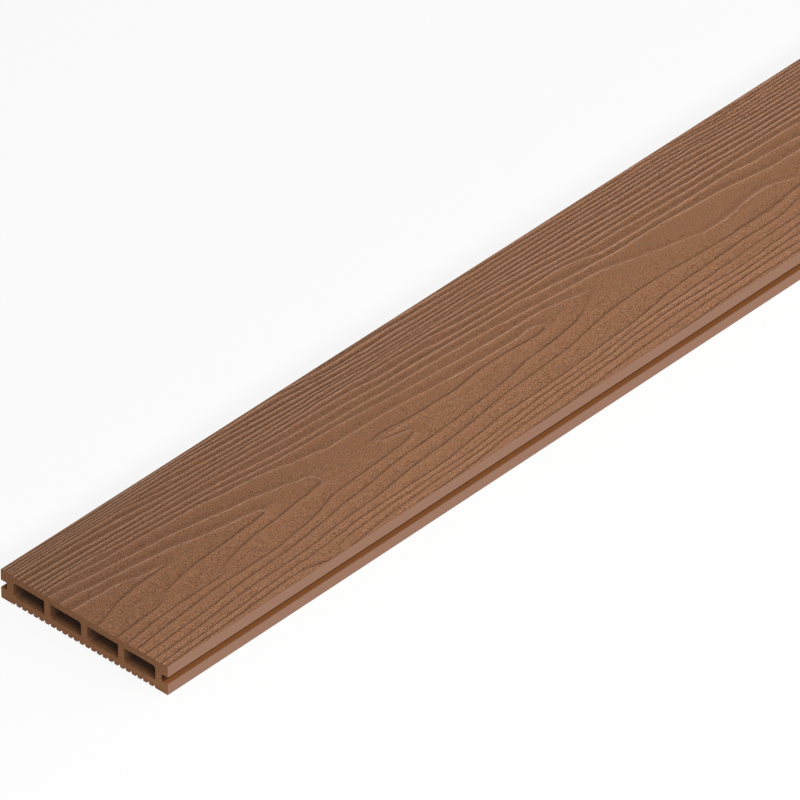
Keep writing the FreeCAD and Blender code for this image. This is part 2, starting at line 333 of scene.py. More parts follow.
@dataclass(frozen=True)
class Grain:
    """Growth rings of a flat-sawn plank, which the embossing roller prints into the face at each turn.

    Each ring's line has a far course and a near course, which meet in an arch at its tip. A course is a list
    of places in millimetres: along from the near sawn end, across from the board's middle.
    """

    turn: float = 880.0
    tips: tuple[float, ...] = (75, 158, 207, 424, 470, 668, 745, 850)
    far_courses: tuple[Course, ...] = (
        ((0, 10.3), (20, 9), (40, 8), (51, 3.6), (75, 0.3)),
        ((0, 20.2), (12, 19.6), (25, 17.4), (55, 14), (88, 9), (112, 2.8), (125, 1), (150, -3),
         (158, -6)),
        ((0, 30.8), (35, 25.7), (65, 22.5), (100, 18.5), (130, 12.3), (146, 9), (156, 8.3), (185, 1),
         (207, -4.5)),
        ((0, 36.8), (25, 36), (50, 32), (85, 31.5), (110, 28.7), (135, 27.5), (152, 23.4), (168, 22.4),
         (195, 18), (202, 14.6), (233, 8.2), (285, 7), (310, 5), (327, 2.8), (360, 0.6), (400, -1.5),
         (412, 0.3), (419, 0), (424, -4)),
        ((0, 40.5), (40, 39.3), (85, 35.7), (148, 30.5), (183, 25.3), (220, 22), (262, 20),
         (290, 16.8), (310, 14.2), (350, 11.7), (395, 8.8), (430, 8.5), (445, 5.5), (470, 0.5)),
        ((0, 43.7), (75, 40.3), (162, 34), (185, 30.5), (215, 27.2), (280, 24.5), (300, 22.7),
         (340, 21.8), (400, 17.8), (450, 12.6), (480, 10), (491, 9.5), (520, 1.3), (550, -6.5),
         (572, -12.2), (600, -11.5), (620, -7.3), (637, -7.5), (668, -19)),
        ((0, 48), (80, 44), (140, 41.8), (180, 39), (225, 34.5), (275, 32.5), (305, 29.8), (380, 27),
         (395, 25.7), (430, 25.8), (450, 22.4), (480, 18.6), (520, 15.8), (560, 14.9), (612, 10.6),
         (655, 4), (685, 4), (745, -2)),
        ((0, 52.8), (75, 48.3), (100, 46.5), (190, 43), (240, 41.2), (277, 40), (312, 35.8),
         (347, 35.5), (360, 33.1), (405, 31.2), (440, 30.5), (475, 31.3), (492, 28), (502, 24),
         (510, 22.5), (590, 20.3), (622, 20.6), (650, 17), (690, 14), (780, 8), (850, -2)),
        ((0, 58.3), (60, 56), (90, 53.8), (108, 51.2), (160, 48.8), (225, 46), (290, 45), (315, 43),
         (364, 42.4), (371, 40.6), (395, 37.8), (475, 35), (505, 32), (545, 30), (595, 27.5),
         (685, 25.8), (780, 19)),
        ((0, 62), (98, 59.3), (130, 54), (160, 52.7), (200, 50), (290, 47.6), (375, 45.5), (410, 43.7),
         (450, 40.5), (508, 36.4), (560, 36), (605, 33.4), (650, 33.5), (780, 27.5)),
        ((0, 64.4), (100, 61.7), (120, 60.2), (150, 57.2), (195, 53.8), (280, 51.5), (315, 49.3),
         (425, 47.8), (460, 45.4), (500, 42), (560, 40.6), (635, 38.5), (650, 36.5), (780, 34.5)),
        ((0, 66.4), (115, 64), (145, 63.5), (190, 59.3), (240, 56), (320, 52.2), (440, 50.3),
         (475, 49), (500, 47.3), (550, 45), (635, 43), (680, 40.3), (780, 39.5)),
        ((0, 68.4), (80, 66.8), (140, 67), (200, 64.5), (213, 62.3), (240, 60.5), (270, 58.3),
         (340, 55), (470, 53), (500, 52.2), (550, 49.5), (635, 48), (680, 45.5), (780, 42.3)),
        ((0, 71), (60, 69.2), (145, 69.2), (205, 67.6), (250, 64.7), (290, 61.7), (340, 59), (440, 57),
         (500, 56.8), (620, 54.3), (645, 51.6), (680, 49.5), (780, 45.8)),
        ((30, 73), (100, 71.2), (220, 70.7), (246, 70.2), (264, 68.3), (298, 63.3), (340, 63),
         (400, 61), (500, 60.3), (600, 58.8), (640, 57), (680, 53), (780, 51)),
        ((255, 73), (275, 69.5), (300, 68), (340, 68.3), (370, 67), (440, 65), (500, 64.3),
         (550, 62.7), (600, 62.5), (680, 57), (780, 54)),
        ((345, 73), (380, 71), (440, 69), (500, 67.5), (600, 65.7), (680, 60), (780, 58)),
        ((430, 73), (500, 71.3), (550, 69.5), (600, 69), (680, 63), (780, 61.5)),
        ((550, 73), (600, 71.9), (680, 66), (780, 64.5)),
        ((630, 73), (680, 69), (780, 67.3)),
        ((665, 73), (780, 69.7)),
        ((750, 73), (780, 72)),
    )
    near_courses: tuple[Course, ...] = (
        ((0, -12), (14, -8.2), (26, -4.3), (48, -0.9), (75, -0.4)),
        ((0, -29), (40, -26), (46, -24.4), (54, -18.8), (75, -14), (92, -12.1), (125, -11), (158, -8.2)),
        ((0, -38.5), (28, -34.7), (60, -33.4), (93, -33.7), (99, -26.3), (115, -22.7), (132, -19.8),
         (160, -18), (176, -15.7), (207, -13.5)),
        ((0, -46.5), (60, -40.8), (85, -39.3), (120, -39.6), (135, -39), (178, -33.5), (198, -27),
         (255, -23.5), (266, -21.5), (274, -4.8), (290, -5), (305, -7.4), (335, -9), (357, -5.8),
         (380, -5.3), (410, -8.1), (424, -7.3)),
        ((0, -54), (65, -50.5), (90, -47.5), (140, -45.5), (185, -41), (193, -38.7), (210, -37.8),
         (250, -32.8), (310, -30.6), (355, -26.4), (390, -20.4), (407, -20.2), (440, -16), (458, -10),
         (470, -3)),
        ((0, -61), (30, -59.7), (90, -54.8), (140, -54), (160, -53), (176, -50.9), (220, -48.8),
         (250, -44.7), (300, -41.5), (327, -38.8), (350, -35.2), (400, -32.8), (420, -31.2),
         (455, -24.8), (495, -22.2), (560, -25.2), (617, -27.2), (650, -23.5), (668, -20)),
        ((0, -67.5), (80, -63.8), (120, -61), (150, -60), (190, -56.8), (275, -55.6), (300, -52.4),
         (332, -49.6), (395, -48.8), (440, -44.9), (468, -44), (492, -41), (502, -38.5), (580, -35.3),
         (618, -36.2), (640, -31.5), (700, -20), (745, -5)),
        ((0, -72), (60, -69.5), (110, -66.8), (133, -66.8), (143, -70.5), (150, -74), (154, -82),
         (158, -73), (163, -65.6), (176, -63.2), (220, -61), (290, -60.7), (330, -57.5), (365, -54),
         (420, -53), (455, -49.4), (500, -47.8), (535, -46.7), (585, -44.4), (630, -44), (700, -37),
         (790, -22), (850, -6)),
        ((165, -73), (200, -68.3), (240, -65.7), (300, -64.4), (345, -61), (365, -59), (425, -56.9),
         (455, -53.8), (500, -52.6), (560, -54.3), (618, -51), (700, -43), (790, -27)),
        ((245, -73), (295, -69.5), (306, -67.9), (360, -65), (435, -61), (480, -57.8), (560, -59),
         (612, -57.8), (700, -50), (790, -39)),
        ((330, -73), (400, -70.3), (420, -68.5), (460, -66), (500, -64.5), (580, -63.2), (600, -64.2),
         (700, -57), (790, -46.5)),
        ((465, -73), (500, -72), (540, -70.2), (600, -70.1), (700, -63.5), (790, -54)),
        ((640, -73), (700, -69), (790, -60.5)),
        ((700, -73), (790, -66.5)),
        ((775, -73), (830, -70.5)),
        ((850, -73),),
    )
    fold: Fold = Fold(270, -13, 40, 9, 4.6)
    presses: tuple[Press, ...] = (
        Press(50, -21.5, 6, 5, -1), Press(96, -30, 6, 5, -1), Press(142, -70, 9, 4, 2.0),
        Press(158, -69, 5, 5, -0.9), Press(272, -12, 20, 7, 1.1), Press(200, -10, 5, 4, 0.8),
        Press(159, -6, 4, 3, 0.8), Press(458, -8, 12, 6, -0.8),
    )
    waves: tuple[Wave, ...] = (Wave(60, 20, 0.5, 31.1), Wave(19, 8, 0.35, 47.7))
    turns: int = 3
    rounding: int = 7
    heart_rounding: int = 15
    spacing: float = 2.0
    crest: float = 0.4
    rise_after_tip: float = 0.7
    rise_length: float = 8.0
    last_rise: float = 6.0
    rate: float = 0.1
    outside: float = 5.0
    inside: float = 3.0
    run_out: float = 20.0
    spare_along: float = 60.0
    spare_across: float = 4.0

    def _course(self, courses: tuple[Course, ...], ring: int, along: np.ndarray) -> np.ndarray:
        """Follow one side of a ring's line along the board.

        Args:
            courses: The courses on that side in one turn of the roller.
            ring: The ring's number.
            along: Where the line is wanted.

        Returns:
            The line's place across at each place along, and no number where it is off the board.
        """
        points: list[tuple[float, float]] = []
        for turn in range(self.turns):
            local = ring - turn * len(self.tips)
            if 1 <= local <= len(courses):
                points += [(place + turn * self.turn, across) for place, across in courses[local - 1]]
        if not points:
            return np.full(along.shape, np.nan)
        places, values = zip(*points)
        stations = np.arange(places[0] - self.run_out, places[-1] + self.run_out, self.spacing)
        kernel = np.hanning(self.rounding)
        padded = np.pad(np.interp(stations, places, values), self.rounding // 2, mode="edge")
        rounded = np.convolve(padded, kernel / kernel.sum(), mode="valid")
        line = np.interp(along, stations, rounded)
        return np.where((along >= places[0]) & (along <= self.tip(ring)), line, np.nan)

    def tip(self, ring: int) -> float:
        """Place the tip of a ring's arch along the board."""
        turn, local = divmod(ring - 1, len(self.tips))
        return self.tips[local] + turn * self.turn

    def _lines(self, along: np.ndarray) -> tuple[np.ndarray, np.ndarray, np.ndarray]:
        """Follow the lines of all the rings along the board.

        Args:
            along: Where the lines are wanted.

        Returns:
            The rings' numbers, then their far and their near lines, one row for each ring.
        """
        rings = np.arange(1, self.turns * len(self.tips) + len(self.far_courses) + 1)
        far = np.array([self._course(self.far_courses, ring, along) for ring in rings])
        near = np.array([self._course(self.near_courses, ring, along) for ring in rings])
        return rings, far, near

    def heart_line(self, along: np.ndarray) -> np.ndarray:
        """Follow the grain's heart along the board, midway between the innermost lines.

        Args:
            along: Places along the board, evenly spaced.

        Returns:
            The heart's place across at each of them.
        """
        _, far, near = self._lines(along)
        column = np.arange(len(along))
        inner_far = far[np.argmax(~np.isnan(far), axis=0), column]
        inner_near = near[np.argmax(~np.isnan(near), axis=0), column]
        kernel = np.hanning(self.heart_rounding)
        padded = np.pad((inner_far + inner_near) / 2, self.heart_rounding // 2, mode="edge")
        return np.convolve(padded, kernel / kernel.sum(), mode="valid")

    def _heart(self, rings: np.ndarray, along: np.ndarray) -> np.ndarray:
        """Number the rings along the heart: up fast after each tip, level, then up again to the next.

        Args:
            rings: The numbers of all the rings.
            along: Where the number is wanted.

        Returns:
            Ring numbers, which are whole at the tips.
        """
        tips = np.array([self.tips[-1] - self.turn] + [self.tip(ring) for ring in rings])
        last = np.clip(np.searchsorted(tips, along, side="right") - 1, 0, len(tips) - 2)
        since = along - tips[last]
        gap = tips[last + 1] - tips[last]
        quick = (1 - np.exp(-since / self.rise_length)) / (1 - np.exp(-gap / self.rise_length))
        late = np.exp((since - gap) / self.last_rise)
        return last + self.rise_after_tip * quick + (1 - self.rise_after_tip) * late

    def _columns(self, along: np.ndarray, across: np.ndarray) -> np.ndarray:
        """Number the rings over a grid, between the lines of the grain.

        Args:
            along: Places along the board.
            across: Places across it, from the near side.

        Returns:
            Ring numbers, one row for each place across.
        """
        rings, far, near = self._lines(along)
        heart = self._heart(rings, along)
        numbers = np.empty((len(across), len(along)))
        for column in range(len(along)):
            far_here = ~np.isnan(far[:, column])
            near_here = ~np.isnan(near[:, column])
            far_line = np.maximum.accumulate(far[far_here, column] + self.crest)
            near_line = np.minimum.accumulate(near[near_here, column] - self.crest)
            middle = (far_line[0] + near_line[0]) / 2
            far_places, far_values = self._side(far_line - middle, rings[far_here], heart[column])
            near_places, near_values = self._side(middle - near_line, rings[near_here], heart[column])
            places = np.concatenate((middle - near_places[::-1], middle + far_places))
            values = np.concatenate((near_values[::-1], far_values))
            numbers[:, column] = np.interp(across, places, values)
        return numbers

    def _side(self, lines: np.ndarray, rings: np.ndarray, heart: float) -> tuple[list[float], list[float]]:
        """Number the rings on one side of the heart, briskly beside each line and little between lines.

        Args:
            lines: How far each line is from the heart.
            rings: The lines' ring numbers.
            heart: The ring number in the heart.

        Returns:
            Distances from the heart, and the ring numbers there.
        """
        places, values = [0.0], [heart]
        wide = self.outside + self.inside
        for line, ring in zip(lines, rings):
            gap = line - places[-1]
            first = len(places) == 1
            if not first and gap > wide:
                places.append(places[-1] + self.outside)
                values.append(values[-1] + self.outside * self.rate)
            low = ring - self.inside * self.rate
            if values[-1] < low and line - self.inside > places[-1]:
                places.append(line - self.inside)
                values.append(low)
            places.append(line)
            values.append(float(ring))
        return places + [places[-1] + wide], values + [values[-1] + 1]

    def pressure(self, along: np.ndarray, across: np.ndarray) -> np.ndarray:
        """Work out how hard the roller pressed at each place, around 1."""
        return 1 + sum(press.over(along % self.turn, across) for press in self.presses)

    def rings(self, along: np.ndarray, across: np.ndarray) -> np.ndarray:
        """Number the rings over the face.

        Args:
            along: Millimetres from the near sawn end, over a grid with one row for each place across.
            across: Millimetres from the board's middle, positive on the far side, over the same grid.

        Returns:
            Ring numbers, which are whole on the lines of the grain.
        """
        low_along, high_along = along.min() - self.spare_along, along.max() + self.spare_along
        low_across, high_across = across.min() - self.spare_across, across.max() + self.spare_across
        plain_along = np.linspace(low_along, high_along, 2 * along.shape[1])
        plain_across = np.linspace(low_across, high_across, 2 * across.shape[0])
        plain = self._columns(np.maximum(plain_along, 0), plain_across)
        across = across + sum(wave.over(along, across) for wave in self.waves)
        along = along + self.fold.shift(along, across)
        column = np.interp(along, plain_along, np.arange(len(plain_along)))
        row = np.interp(across, plain_across, np.arange(len(plain_across)))
        left = np.minimum(column.astype(int), len(plain_along) - 2)
        low = np.minimum(row.astype(int), len(plain_across) - 2)
        right_share = column - left
        high_share = row - low
        lower = plain[low, left] * (1 - right_share) + plain[low, left + 1] * right_share
        upper = plain[low + 1, left] * (1 - right_share) + plain[low + 1, left + 1] * right_share
        return lower * (1 - high_share) + upper * high_share


@dataclass(frozen=True)
class EmbossedFace:
    """Brushed walking face: matt and sandy, with brush dashes and the grain's steps, painted shade at their
    feet, painted highlights on their crests and rims, and painted shade towards the ends.

    Lengths are in metres and shares around 1. A span gives where a smooth change starts and ends: of noise
    around 0.5, or in steps or brows beside a line.
    """

    relief: Relief
    end: float
    light: Shade = (190, 135, 106)
    dark: Shade = (113, 73, 51)
    groove_shade: Shade = (92, 60, 40)
    highlight_tone: Shade = (198, 176, 164)
    warm: tuple[float, float, float, float] = (1.0, 0.94, 0.71, 1.0)
    cool: tuple[float, float, float, float] = (0.81, 0.94, 1.0, 1.0)
    tint: float = 0.7 * MM
    tint_stretch: Stretch = (2.0, 1.0, 1.0)
    tint_span: Span = (0.3, 0.7)
    ragged: float = 5.0 * MM
    ragged_stretch: Stretch = (1.6, 1.0, 1.0)
    ragged_reach: float = 1.4 * MM
    uneven: float = 26.0 * MM
    uneven_stretch: Stretch = (5.0, 1.0, 1.0)
    uneven_span: Span = (0.3, 0.7)
    softest: float = 0.7
    firmer: float = 0.6
    sand: float = 0.34 * MM
    sand_stretch: Stretch = (3.8, 1.0, 1.0)
    sand_span: Span = (0.28, 0.72)
    sand_depth: float = 0.3 * MM
    patch: float = 45.0 * MM
    patch_stretch: Stretch = (2.5, 1.0, 1.0)
    patch_span: Span = (0.35, 0.65)
    smoothest: float = 0.75
    rougher: float = 0.3
    bristle: float = 1.7 * MM
    bristle_share: float = 0.32
    bristle_length: float = 3.4 * MM
    bristle_lift: float = 0.66
    bristle_run: float = 6.0 * MM
    bristle_stretch: Stretch = (6.0, 1.0, 1.0)
    bristle_sway: float = 3.0
    foot_shade_span: Span = (1.6, 0.9)
    groove_shade_share: float = 0.26
    crest: float = 0.4 * MM
    crest_highlight_span: Span = (0.7, 0.2)
    crest_highlight_share: float = 0.2
    highlight_rim_rise: Span = (0.2, 0.45)
    highlight_rim_fall: Span = (0.9, 0.5)
    highlight_rim_from: float = 0.6
    highlight_rim_share: float = 0.18
    sparse: float = 9.0 * MM
    crowded: float = 4.0 * MM
    end_painted_shade: float = 0.82
    end_reach: float = 480.0 * MM
    far_side_shade_lean: float = 2.0
    roughness: float = 0.75
    roughness_swing: float = 0.2
    specular: float = 0.12

    def material(self) -> bpy.types.Material:
        """Build the finish from the ring numbers stored in the mesh."""
        material, graph = new_graph("embossed_face")
        relief = self.relief
        ring = graph.node("ShaderNodeAttribute", {"attribute_name": "ring"}, output="Fac")
        density = graph.node("ShaderNodeAttribute", {"attribute_name": "ring_density"}, output="Fac")
        depth = graph.node("ShaderNodeAttribute", {"attribute_name": "grain_depth"}, output="Fac")
        # The lines are slightly ragged, and the step beside each has a hump, a brow and a soft foot.
        raggedness = graph.speckle(self.ragged, 1.0, self.ragged_stretch) - 0.5
        past = graph.math("FRACT", ring + density * raggedness * self.ragged_reach)
        hump_share = graph.math("MINIMUM", density * relief.hump, relief.widest_hump)
        step_share = graph.math("MINIMUM", density * relief.step, relief.widest_step)
        brow_share = graph.math("MINIMUM", density * relief.brow, relief.widest_hump)
        deep = graph.smooth(depth, relief.near_depth, relief.far_depth)
        fallen = past / hump_share
        dropped = past / brow_share
        hump = graph.math("EXPONENT", fallen * fallen * -1)
        brow = graph.math("EXPONENT", dropped * dropped * -1)
        hump = hump + (brow - hump) * (1 - deep) * relief.brow_share
        short_of = (1 - past) / step_share
        left = graph.smooth(short_of, 0.0, 1.0)
        soft_left = graph.smooth(short_of, 0.0, relief.foot)
        profile = 1 - (1 - hump) * (left * (1 - relief.foot_share) + soft_left * relief.foot_share)
        firmness = graph.smooth(graph.speckle(self.uneven, 1.0, self.uneven_stretch), *self.uneven_span)
        strength = firmness * self.firmer + self.softest
        # Sand lies over the relief, rougher in some patches.
        sand = graph.speckle(self.sand, 1.0, self.sand_stretch)
        patches = graph.smooth(graph.speckle(self.patch, 1.0, self.patch_stretch), *self.patch_span)
        rough = patches * self.rougher + self.smoothest
        height = profile * strength * depth * (1 - relief.modelled) + (sand - 0.5) * rough * self.sand_depth
        # Sand and brush dashes fleck the tone, and a fine tint varies it.
        sway = graph.speckle(self.bristle_run, 1.0, self.bristle_stretch) * self.bristle_sway
        stop = graph.speckle(self.bristle_run, 1.0) * self.bristle_sway
        brush = graph.math("SINE", (graph.place("Y") / self.bristle + sway) * math.tau)
        lift = graph.math("SINE", (graph.place("X") / self.bristle_length + stop) * math.tau)
        brush = brush * (lift * self.bristle_lift + 1 - self.bristle_lift)
        fleck = (graph.smooth(sand, *self.sand_span) - 0.5) * rough + brush * self.bristle_share + 0.5
        tone = graph.blend(fleck, linear(*self.dark), linear(*self.light))
        hue = graph.smooth(graph.speckle(self.tint, 1.0, self.tint_stretch), *self.tint_span)
        tone = graph.dim(tone, graph.blend(hue, self.warm, self.cool))
        # The foot of each step gets painted shade, the crests of far lines get a pale painted highlight, and
        # crowded near lines get a pale painted highlight as a rim.
        foot = graph.smooth(short_of, *self.foot_shade_span) * left * graph.smooth(depth, 0.0, relief.near_depth)
        tone = graph.blend(foot * self.groove_shade_share, tone, linear(*self.groove_shade))
        # Painted highlight on the crests of the far lines.
        beyond = graph.smooth(past / (density * self.crest), 1.0, 0.0)
        crest = graph.math("MAXIMUM", graph.smooth(short_of, *self.crest_highlight_span), beyond)
        tone = graph.blend(crest * deep * strength * self.crest_highlight_share, tone, linear(*self.highlight_tone))
        # Painted highlight along a rim beside crowded near lines.
        rim = graph.smooth(dropped, *self.highlight_rim_rise) * graph.smooth(dropped, *self.highlight_rim_fall) * (1 - deep)
        crowding = graph.smooth(density, 1 / self.sparse, 1 / self.crowded)
        rim = rim * crowding * (strength - self.highlight_rim_from) * self.highlight_rim_share
        tone = graph.blend(rim, tone, linear(*self.highlight_tone))
        # Painted shade: the board is slightly darker towards its ends, and more so towards its far side.
        from_end = self.end - graph.math("ABSOLUTE", graph.place("X")) - graph.place("Y") * self.far_side_shade_lean
        shade = graph.smooth(from_end, -self.end_reach, self.end_reach) * 2 - 1
        tone = graph.dim(tone, shade * (1 - self.end_painted_shade) + self.end_painted_shade)
        graph.finish({
            "Base Color": tone,
            "Roughness": self.roughness + (sand - 0.5) * self.roughness_swing,
            "Normal": graph.bump(height),
            "Specular IOR Level": self.specular,
        })
        return material


@dataclass(frozen=True)
class ExtrudedSkin:
    """Smooth skin of the sides and the underside, as it leaves the die."""

    tone: Shade = (129, 94, 74)
    streak: Shade = (126, 91, 72)
    streak_width: float = 1.2 * MM
    streak_stretch: Stretch = (300.0, 1.0, 1.0)
    streak_depth: float = 0.02 * MM
    fine: float = 0.5 * MM
    fine_depth: float = 0.015 * MM
    roughness: float = 0.55
    roughness_swing: float = 0.1
    specular: float = 0.25

    def material(self) -> bpy.types.Material:
        """Build the finish with faint streaks along the board."""
        material, graph = new_graph("extruded_skin")
        streaks = graph.speckle(self.streak_width, 1.0, self.streak_stretch)
        fine = graph.speckle(self.fine, 1.0)
        graph.finish({
            "Base Color": graph.blend(streaks, linear(*self.streak), linear(*self.tone)),
            "Roughness": self.roughness + streaks * self.roughness_swing,
            "Normal": graph.bump(streaks * self.streak_depth + fine * self.fine_depth),
            "Specular IOR Level": self.specular,
        })
        return material


@dataclass(frozen=True)
class SawnEnd:
    """Sawn end: matt, with the flecks of wood fibre that the saw laid open, and painted shade that darkens
    it towards the top.
    """

    tone: Shade = (156, 108, 77)
    fleck: Shade = (137, 94, 64)
    fleck_size: float = 0.9 * MM
    fleck_detail: float = 3.0
    fleck_span: Span = (0.35, 0.65)
    fleck_depth: float = 0.3 * MM
    top_painted_shade: float = 0.84
    shade_from: float = 3.0 * MM
    shade_to: float = 20.0 * MM
    roughness: float = 0.85
    specular: float = 0.1

    def material(self) -> bpy.types.Material:
        """Build the finish with fibre flecks and painted shade towards the top."""
        material, graph = new_graph("sawn_end")
        flecks = graph.speckle(self.fleck_size, self.fleck_detail)
        tone = graph.blend(graph.smooth(flecks, *self.fleck_span), linear(*self.fleck), linear(*self.tone))
        # Painted shade: the end is darker towards the top.
        up = graph.smooth(graph.place("Z"), self.shade_from, self.shade_to)
        graph.finish({
            "Base Color": graph.dim(tone, 1 - up * (1 - self.top_painted_shade)),
            "Roughness": self.roughness,
            "Normal": graph.bump(flecks * self.fleck_depth),
            "Specular IOR Level": self.specular,
        })
        return material


@dataclass(frozen=True)
class ChamberWall:
    """Inside of the chambers: painted shade, darker away from the sawn ends, with a pale patch of painted
    light, flecked like sawdust, on the floor by the ends.
    """

    end: float
    floor: float
    tone: Shade = (112, 76, 50)
    deep: Shade = (88, 66, 54)
    floor_light: Shade = (160, 112, 76)
    deep_shade_from: float = 0.5 * MM
    deep_shade_to: float = 7.0 * MM
    floor_light_reach: float = 7.0 * MM
    floor_light_height: float = 2.0 * MM
    floor_light_fleck_size: float = 0.8 * MM
    floor_light_fleck_span: Span = (0.2, 0.6)
    floor_light_fleck_depth: float = 0.2 * MM
    streak_width: float = 1.5 * MM
    streak_stretch: Stretch = (200.0, 1.0, 1.0)
    streak_depth: float = 0.03 * MM
    roughness: float = 0.7
    specular: float = 0.15

    def material(self) -> bpy.types.Material:
        """Build the finish with streaks along the chamber and painted shade, darker away from the ends."""
        material, graph = new_graph("chamber_wall")
        streaks = graph.speckle(self.streak_width, 1.0, self.streak_stretch)
        grains = graph.speckle(self.floor_light_fleck_size, 2.0)
        from_end = self.end - graph.math("ABSOLUTE", graph.place("X"))
        up = graph.place("Z") - self.floor
        # Painted shade, darker away from the ends.
        inward = graph.smooth(from_end, self.deep_shade_from, self.deep_shade_to)
        tone = graph.blend(inward, linear(*self.tone), linear(*self.deep))
        # Painted light: a pale patch, flecked like sawdust, on the floor by the ends.
        floor_light = graph.smooth(from_end, self.floor_light_reach, 0.0) * graph.smooth(up, self.floor_light_height, 0.0)
        tone = graph.blend(floor_light * graph.smooth(grains, *self.floor_light_fleck_span), tone, linear(*self.floor_light))
        graph.finish({
            "Base Color": tone,
            "Roughness": self.roughness,
            "Normal": graph.bump(streaks * self.streak_depth + grains * floor_light * self.floor_light_fleck_depth),
            "Specular IOR Level": self.specular,
        })
        return material


@dataclass(frozen=True)
class SlotWall:
    """Inside of the clip slots: the skin turns in at the mouth; behind it a darker, saturated tone is
    painted shade and bounce light, and deeper in it turns to darker painted shade.
    """

    side: float
    skin: Shade = (134, 102, 83)
    tone: Shade = (135, 83, 44)
    deep: Shade = (58, 30, 8)
    mouth_from: float = 0.5 * MM
    mouth_to: float = 1.2 * MM
    deep_shade_from: float = 3.9 * MM
    deep_shade_to: float = 4.8 * MM
    streak_width: float = 0.8 * MM
    streak_stretch: Stretch = (300.0, 1.0, 1.0)
    streak_depth: float = 0.03 * MM
    roughness: float = 0.7
    specular: float = 0.1

    def material(self) -> bpy.types.Material:
        """Build the finish with painted shade and bounce light behind the mouth, darker painted shade where
        the slot is deep, and streaks along the slot.
        """
        material, graph = new_graph("slot_wall")
        inward = self.side - graph.math("ABSOLUTE", graph.place("Y"))
        streaks = graph.speckle(self.streak_width, 1.0, self.streak_stretch)
        # Behind the mouth the colour is painted shade and bounce light, darkening to painted shade where the
        # slot is deep.
        mouth = graph.smooth(inward, self.mouth_from, self.mouth_to)
        depth = graph.smooth(inward, self.deep_shade_from, self.deep_shade_to)
        tone = graph.blend(mouth, linear(*self.skin), linear(*self.tone))
        graph.finish({
            "Base Color": graph.blend(depth, tone, linear(*self.deep)),
            "Roughness": self.roughness,
            "Normal": graph.bump(streaks * self.streak_depth),
            "Specular IOR Level": self.specular,
        })
        return material


@dataclass
class Section:
    """Cross-section of the board, in metres: y runs across it and z up."""

    width: float
    thickness: float
    edge_wall: float = 11.0 * MM
    web: float = 5.1 * MM
    top_skin: float = 5.2 * MM
    bottom_skin: float = 6.0 * MM
    chambers: int = 4
    chamber_corner: float = 2.0 * MM
    lower_lip: float = 8.5 * MM
    slot_height: float = 5.6 * MM
    slot_depth: float = 5.5 * MM
    slot_corner: float = 1.2 * MM
    plain_margin: float = 11.6 * MM
    notches: int = 25
    notch_width: float = 1.8 * MM
    notch_depth: float = 2.0 * MM
    notch_corner: float = 0.8 * MM
    rib_corner: float = 0.4 * MM
    arris_round: float = 0.4 * MM
    lip_round: float = 0.3 * MM
    bottom_round: float = 0.8 * MM

    @property
    def side(self) -> float:
        """Distance of a long side from the middle."""
        return self.width / 2

    def outline(self) -> list[tuple[float, float, float]]:
        """List the corners of the outside, once round, each as y, z and the radius of its rounding."""
        slot_floor = self.lower_lip
        slot_ceiling = slot_floor + self.slot_height
        slot_back = self.side - self.slot_depth
        half = [
            (self.side, 0.0, self.bottom_round),
            (self.side, slot_floor, self.lip_round),
            (slot_back, slot_floor, self.slot_corner),
            (slot_back, slot_ceiling, self.slot_corner),
            (self.side, slot_ceiling, self.lip_round),
            (self.side, self.thickness, self.arris_round),
        ]
        corners = half + [(-y, z, radius) for y, z, radius in reversed(half)]
        pitch = (self.width - 2 * self.plain_margin - self.notch_width) / (self.notches - 1)
        for number in range(self.notches):
            left = self.plain_margin - self.side + number * pitch
            right = left + self.notch_width
            corners += [
                (left, 0.0, self.rib_corner),
                (left, self.notch_depth, self.notch_corner),
                (right, self.notch_depth, self.notch_corner),
                (right, 0.0, self.rib_corner),
            ]
        return corners

    def chamber(self, number: int) -> list[tuple[float, float, float]]:
        """List the corners of one chamber, counted from the near side."""
        room = self.width - 2 * self.edge_wall - (self.chambers - 1) * self.web
        wide = room / self.chambers
        left = self.edge_wall - self.side + number * (wide + self.web)
        low = self.bottom_skin
        high = self.thickness - self.top_skin
        radius = self.chamber_corner
        right = left + wide
        return [(left, low, radius), (right, low, radius), (right, high, radius), (left, high, radius)]


